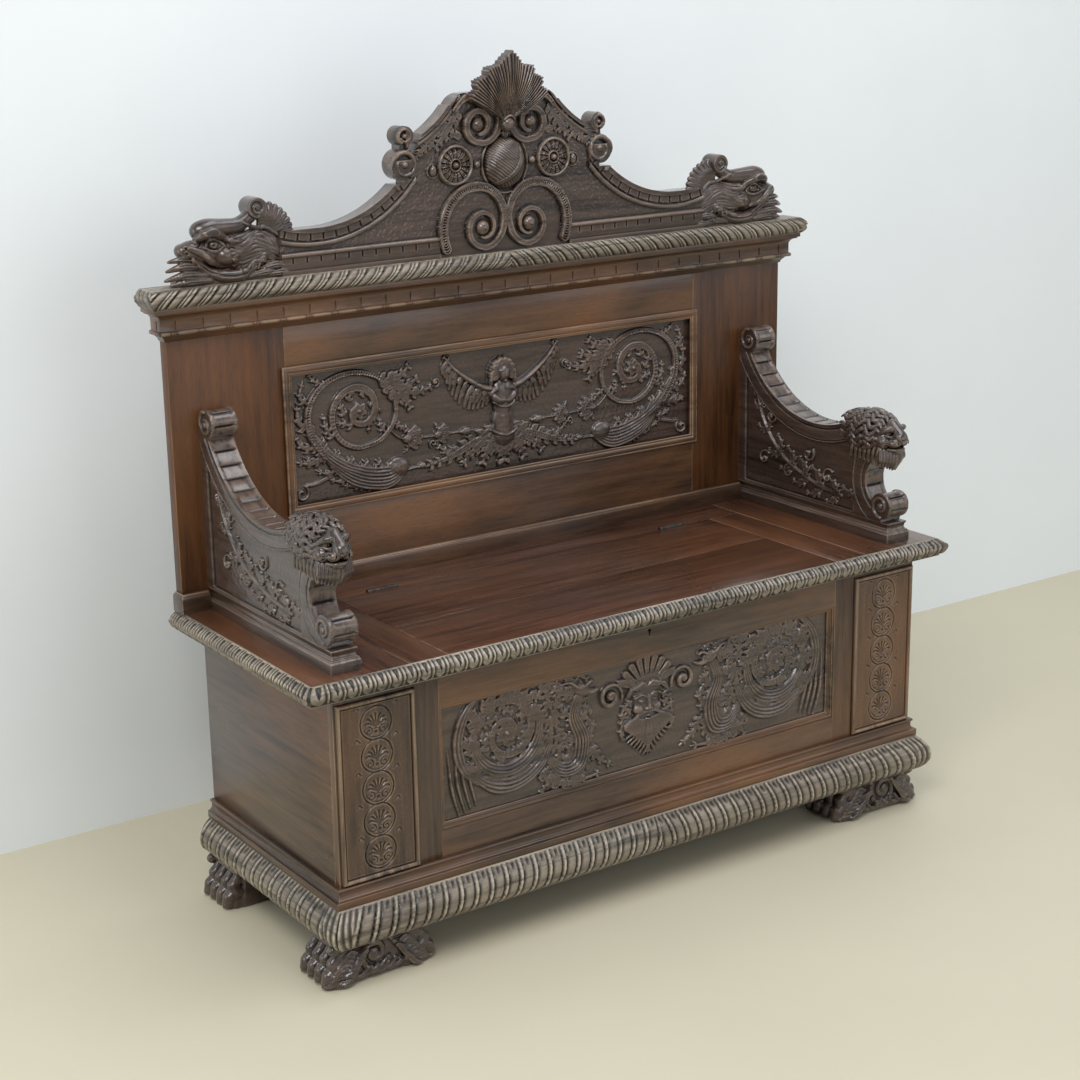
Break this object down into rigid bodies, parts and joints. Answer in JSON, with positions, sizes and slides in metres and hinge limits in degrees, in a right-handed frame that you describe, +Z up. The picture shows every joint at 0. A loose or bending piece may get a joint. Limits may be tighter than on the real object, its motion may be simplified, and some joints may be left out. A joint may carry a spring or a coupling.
{
  "type": "carved hall bench",
  "caption": "Carved wooden hall bench with a chest under its lifting seat, scroll arms with lion heads, a panelled back and a shell-topped crest.",
  "frame": {"origin": "centre of the bounding box's underside, on the floor under the feet", "axes": "+Z up, the bench faces -Y, +X to the right of someone who faces the bench"},
  "size_m": [1.414, 0.504, 1.4472],
  "materials": {
    "frame_walnut": "dark stained, waxed",
    "carved_walnut": "dark stained carving, waxed, lighter on its edges",
    "seat_walnut": "reddish brown, waxed and worn",
    "worn_mouldings": "dark in the cuts, rubbed to a pale gold on the high parts",
    "hinge_iron": "dark wrought iron",
    "lock_iron": "dark wrought iron"
  },
  "bodies": {
    "bench": {"foot_front_left": "carved_walnut", "foot_front_right": "carved_walnut", "foot_rear_left": "carved_walnut", "foot_rear_right": "carved_walnut", "base_front_moulding": "worn_mouldings", "base_left_moulding": "worn_mouldings", "base_right_moulding": "worn_mouldings", "base_rear_rail": "worn_mouldings", "cove_front": "frame_walnut", "cove_left": "frame_walnut", "cove_right": "frame_walnut", "bottom_board": "frame_walnut", "front_top_rail": "frame_walnut", "front_bottom_rail": "frame_walnut", "front_stile_left": "frame_walnut", "front_stile_right": "frame_walnut", "front_panel": "carved_walnut", "front_panel_moulding": "frame_walnut", "pilaster_left": "frame_walnut", "pilaster_right": "frame_walnut", "side_board_left": "frame_walnut", "side_board_right": "frame_walnut", "chest_rear_board": "frame_walnut", "seat_end_left": "seat_walnut", "seat_end_right": "seat_walnut", "seat_stile_left": "seat_walnut", "seat_stile_right": "seat_walnut", "seat_rear_rail": "seat_walnut", "seat_edge_left": "worn_mouldings", "seat_edge_right": "worn_mouldings", "seat_edge_front_ends": "worn_mouldings", "hinge_leaves_fixed": "hinge_iron", "hinge_pins": "hinge_iron", "lock_case": "lock_iron", "arm_left": "carved_walnut", "arm_right": "carved_walnut", "arm_base_left": "carved_walnut", "arm_base_right": "carved_walnut", "lion_head_left": "carved_walnut", "lion_head_right": "carved_walnut", "back_stile_left": "frame_walnut", "back_stile_right": "frame_walnut", "back_top_rail": "frame_walnut", "back_bottom_rail": "frame_walnut", "back_panel": "carved_walnut", "back_panel_moulding": "frame_walnut", "back_plinth": "frame_walnut", "cornice_frieze": "frame_walnut", "cornice_rim": "worn_mouldings", "crest_board": "carved_walnut", "crest_shell": "carved_walnut", "dolphin_left": "carved_walnut", "dolphin_right": "carved_walnut"},
    "lid": {"lid_front_board": "seat_walnut", "lid_rear_board": "seat_walnut", "lid_edge_moulding": "worn_mouldings", "lid_battens": "frame_walnut", "hinge_leaves_moving": "hinge_iron", "lock_keeper": "lock_iron"},
    "lock_bolt": {"lock_bolt": "lock_iron"}
  },
  "joints": [
    {"name": "lid_hinge", "type": "hinge", "parent": "bench", "child": "lid", "pos_m": [0, 0.138, 0.5335], "axis": [-1, 0, 0], "range_deg": [0, 98]},
    {"name": "bolt_slide", "type": "slide", "parent": "bench", "child": "lock_bolt", "axis": [1, 0, 0], "range_m": [0, 0.01]}
  ]
}
